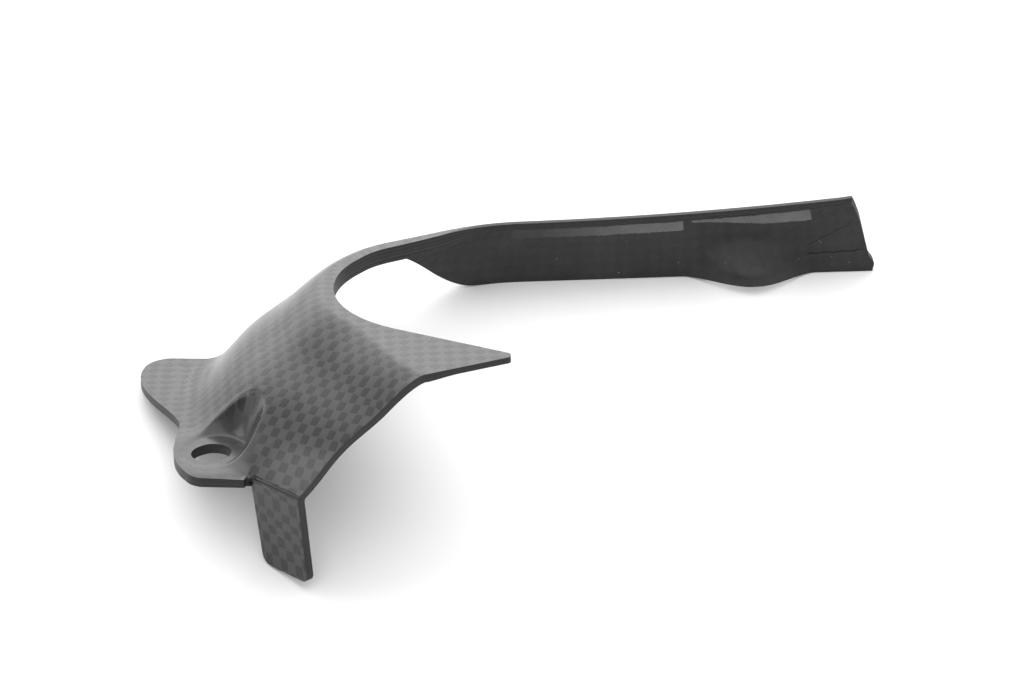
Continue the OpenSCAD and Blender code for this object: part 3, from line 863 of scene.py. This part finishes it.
def cut_edge():
    m = Nodes("cut_edge")
    _, through = m.uv("marks")
    grain = m.noise(m.where(), 900.0, 3.0, 0.6)
    plies = m.noise(m.vector(m.times(through, 5.0), m.times(grain, 0.8)), 1.0, 1.0)
    shade = m.math("MULTIPLY_ADD", m.ramp(plies, 0.42, 0.62), 0.022, m.line(grain, 0.01, 0.006))
    return m.surface(
        Base_Color=m.colour(shade, BLACK, (1, 1, 1, 1)), Roughness=0.5, Specular_IOR_Level=0.35,
        Normal=m.bump(m.plus(grain, plies), 0.0001, 0.5))


for material in (laminate_outside(), laminate_inside(), cut_edge()):
    mesh.materials.append(material)

# The bolt hole is cut through the skin, with the cut edge's finish
RING, BEYOND, SHARP = 96, 1.0, 38
hole = bpy.data.meshes.new("bolt_hole")
ring = [polar(BOLT_R, 360 * k / RING) + BOLT for k in range(RING)]
ends = [rest(np.array([at_z(p, z) for p in ring])) for z in (-BEYOND, SKIN_T + LUG_PAD + BEYOND)]
caps = [tuple(range(RING - 1, -1, -1)), tuple(range(RING, 2 * RING))]
sides = [(k, (k + 1) % RING, RING + (k + 1) % RING, RING + k) for k in range(RING)]
hole.from_pydata([tuple(p) for end in ends for p in end], [], caps + sides)
for material in mesh.materials:
    hole.materials.append(material)
hole.polygons.foreach_set("material_index", [EDGE] * len(hole.polygons))
cutter = bpy.data.objects.new("bolt_hole", hole)
bpy.context.scene.collection.objects.link(cutter)
cut = cover.modifiers.new("hole", "BOOLEAN")
cut.operation = "DIFFERENCE"
cut.solver = "EXACT"
cut.object = cutter
bpy.context.view_layer.update()
whole = bpy.data.meshes.new_from_object(cover.evaluated_get(bpy.context.evaluated_depsgraph_get()))
cover.modifiers.clear()
bpy.data.objects.remove(cutter)
cover.data = whole
whole.shade_smooth()
whole.set_sharp_from_angle(angle=math.radians(SHARP))

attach(cover, "root")
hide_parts("sprocket_cover")

# Floor, light and camera
scene = bpy.context.scene
floor_mesh = bpy.data.meshes.new("floor")
far = 3.0
corners = [(-far, -far, 0), (far, -far, 0), (far, far, 0), (-far, far, 0)]
floor_mesh.from_pydata(corners, [], [(0, 1, 2, 3)])
floor = bpy.data.objects.new("floor", floor_mesh)
scene.collection.objects.link(floor)
paper = bpy.data.materials.new("paper")
paper.use_nodes = True
matt = paper.node_tree.nodes["Principled BSDF"].inputs
matt["Base Color"].default_value = (0.86, 0.86, 0.86, 1)
matt["Roughness"].default_value = 0.9
floor_mesh.materials.append(paper)

# The room is brighter behind the cover than in front of it
SKY, SKY_SLOPE = 0.75, 0.35
world = bpy.data.worlds.new("studio")
world.use_nodes = True
tree = world.node_tree
sky = tree.nodes["Background"]
sky.inputs["Color"].default_value = (1, 1, 1, 1)
toward = tree.nodes.new("ShaderNodeTexCoord")
parts = tree.nodes.new("ShaderNodeSeparateXYZ")
glow = tree.nodes.new("ShaderNodeMath")
glow.operation = "MULTIPLY_ADD"
glow.inputs[1].default_value, glow.inputs[2].default_value = SKY_SLOPE, SKY
tree.links.new(toward.outputs["Generated"], parts.inputs[0])
tree.links.new(parts.outputs["Y"], glow.inputs[0])
tree.links.new(glow.outputs[0], sky.inputs["Strength"])
scene.world = world
scene.view_settings.view_transform = "Standard"


def look(at, eye):
    f = unit(np.array(at, float) - np.array(eye, float))
    r = unit(np.cross(f, UP))
    m = np.eye(4)
    m[:3, 0], m[:3, 1], m[:3, 2], m[:3, 3] = r, np.cross(r, f), -f, eye
    return Matrix(m.tolist())


def lamp(name, eye, at, size, watts):
    data = bpy.data.lights.new(name, "AREA")
    data.shape = "RECTANGLE"
    data.size, data.size_y = size
    data.energy = watts
    obj = bpy.data.objects.new(name, data)
    obj.matrix_world = look(at, eye)
    scene.collection.objects.link(obj)


lamp("key", (-0.1, 0.45, 0.65), (0, 0, 0), (1.0, 0.7), 3.6)
lamp("fill", (0.1, -0.4, 1.2), (0, 0, 0), (1.4, 1.4), 9.0)
lamp("side", (-0.75, 0.1, 0.35), (-0.02, 0, 0.01), (0.4, 0.4), 1.0)
lamp("back_low", (0, 1.4, 0.4), (0, 0, 0.4), (3.0, 0.8), 10.5)

# The camera stands where the photograph was taken from
PHOTO_W, FOCAL_PX, SENSOR_MM = 1024, 2800.0, 36
EYE = np.array([-0.00242, -0.40867, 0.35944])
CAMERA_AZ, CAMERA_EL, CAMERA_ROLL = -0.17, 39.88, 0.41
az, el = math.radians(CAMERA_AZ), math.radians(CAMERA_EL)
ahead = np.array([-math.sin(az) * math.cos(el), math.cos(az) * math.cos(el), -math.sin(el)])
cam_data = bpy.data.cameras.new("camera")
cam_data.sensor_width = SENSOR_MM
cam_data.lens = SENSOR_MM * FOCAL_PX / PHOTO_W
cam_data.clip_start = 0.01
camera = bpy.data.objects.new("camera", cam_data)
camera.matrix_world = look(EYE + ahead, EYE) @ Matrix.Rotation(math.radians(CAMERA_ROLL), 4, "Z")
scene.collection.objects.link(camera)
scene.camera = camera
